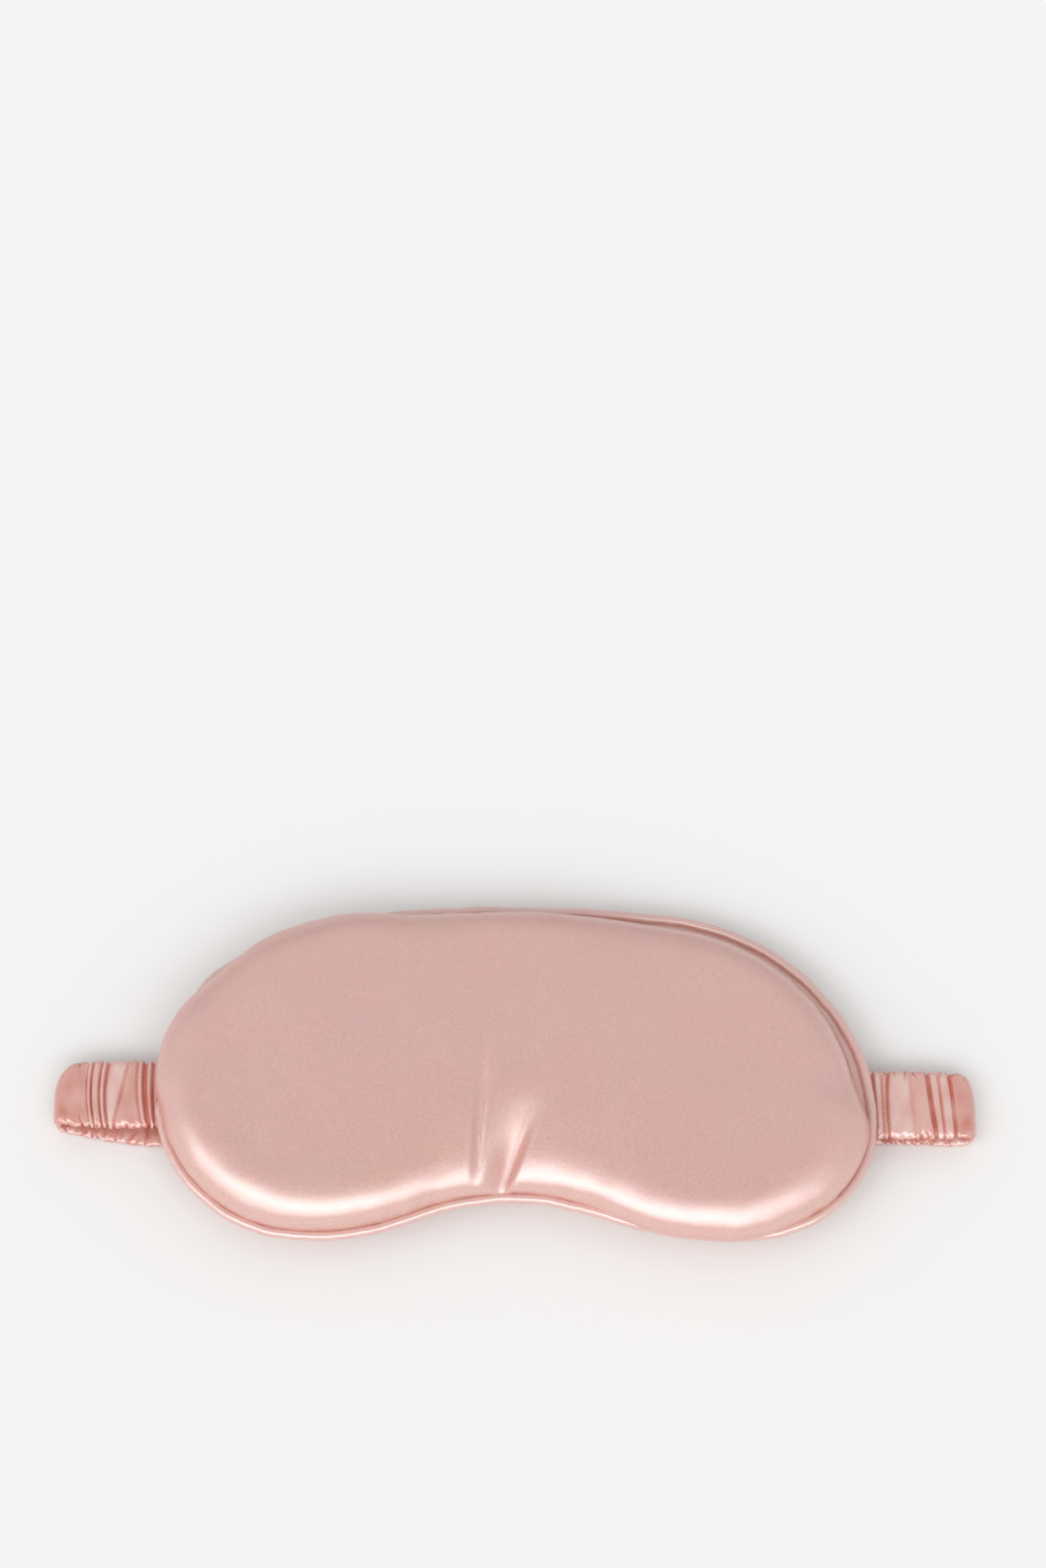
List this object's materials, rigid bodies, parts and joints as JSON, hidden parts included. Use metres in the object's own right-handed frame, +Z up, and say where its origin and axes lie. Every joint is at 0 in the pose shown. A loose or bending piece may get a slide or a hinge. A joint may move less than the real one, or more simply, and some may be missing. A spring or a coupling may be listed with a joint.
{
  "type": "sleep eye mask",
  "caption": "Padded satin sleep mask with a piped edge, a nose notch and a gathered elastic head strap folded flat beneath it.",
  "frame": {"origin": "under the middle of the mask, on the surface that the folded strap lies on", "axes": "+X across the face, +Y towards the forehead, +Z up out of the mask's front"},
  "size_m": [0.263, 0.105, 0.0235],
  "materials": {
    "satin_front": "dusty pink satin with a soft sheen",
    "satin_back": "dusty pink satin",
    "satin_piping": "pale pink satin bias strip",
    "satin_strap": "dusty pink satin, gathered",
    "wadding": "white polyester wadding",
    "lining": "matt black sheet",
    "cotton_cord": "twisted cotton",
    "elastic": "woven elastic band",
    "thread": "polyester sewing thread"
  },
  "bodies": {
    "strap_middle": {"casing_middle": "satin_strap", "elastic_middle": "elastic"},
    "strap_run_left": {"casing_run_left": "satin_strap", "elastic_run_left": "elastic"},
    "strap_flap_left": {"casing_flap_left": "satin_strap", "elastic_flap_left": "elastic"},
    "mask": {"front_panel": "satin_front", "back_panel": "satin_back", "front_wadding": "wadding", "back_wadding": "wadding", "blackout_lining": "lining", "piping_cover": "satin_piping", "piping_cord": "cotton_cord", "seam_thread": "thread", "casing_tab_left": "satin_strap", "elastic_tab_left": "elastic", "tab_stitches_left": "thread"},
    "strap_run_right": {"casing_run_right": "satin_strap", "elastic_run_right": "elastic"},
    "strap_flap_right": {"casing_flap_right": "satin_strap", "elastic_flap_right": "elastic"},
    "strap_end_right": {"casing_tab_right": "satin_strap", "elastic_tab_right": "elastic", "tab_stitches_right": "thread"}
  },
  "joints": [
    {"name": "loop_open_left", "type": "hinge", "parent": "strap_middle", "child": "strap_run_left", "pos_m": [-0.02, -0.00725, 0.0073], "axis": [0, 1, 0], "range_deg": [0, 41.79]},
    {"name": "fold_left", "type": "hinge", "parent": "strap_run_left", "child": "strap_flap_left", "pos_m": [-0.1315, -0.00725, 0.004], "axis": [0, -1, 0], "range_deg": [0, 121.8]},
    {"name": "seam_left", "type": "hinge", "parent": "strap_flap_left", "child": "mask", "pos_m": [-0.1015, -0.00725, 0.0054], "axis": [0, 1, 0], "range_deg": [0, 80.01]},
    {"name": "loop_open_right", "type": "hinge", "parent": "strap_middle", "child": "strap_run_right", "pos_m": [0.02, -0.00725, 0.0073], "axis": [0, -1, 0], "range_deg": [0, 41.8]},
    {"name": "fold_right", "type": "hinge", "parent": "strap_run_right", "child": "strap_flap_right", "pos_m": [0.1315, -0.00725, 0.004], "axis": [0, 1, 0], "range_deg": [0, 121.8]},
    {"name": "seam_right", "type": "hinge", "parent": "strap_flap_right", "child": "strap_end_right", "pos_m": [0.1015, -0.00725, 0.0054], "axis": [0, -1, 0], "range_deg": [0, 80.01]}
  ],
  "couplings": [
    {"joint": "fold_left", "follows": "loop_open_left", "ratio": 2.9143},
    {"joint": "seam_left", "follows": "loop_open_left", "ratio": 1.9143},
    {"joint": "loop_open_right", "follows": "loop_open_left", "ratio": 1},
    {"joint": "fold_right", "follows": "loop_open_left", "ratio": 2.9143},
    {"joint": "seam_right", "follows": "loop_open_left", "ratio": 1.9143}
  ]
}
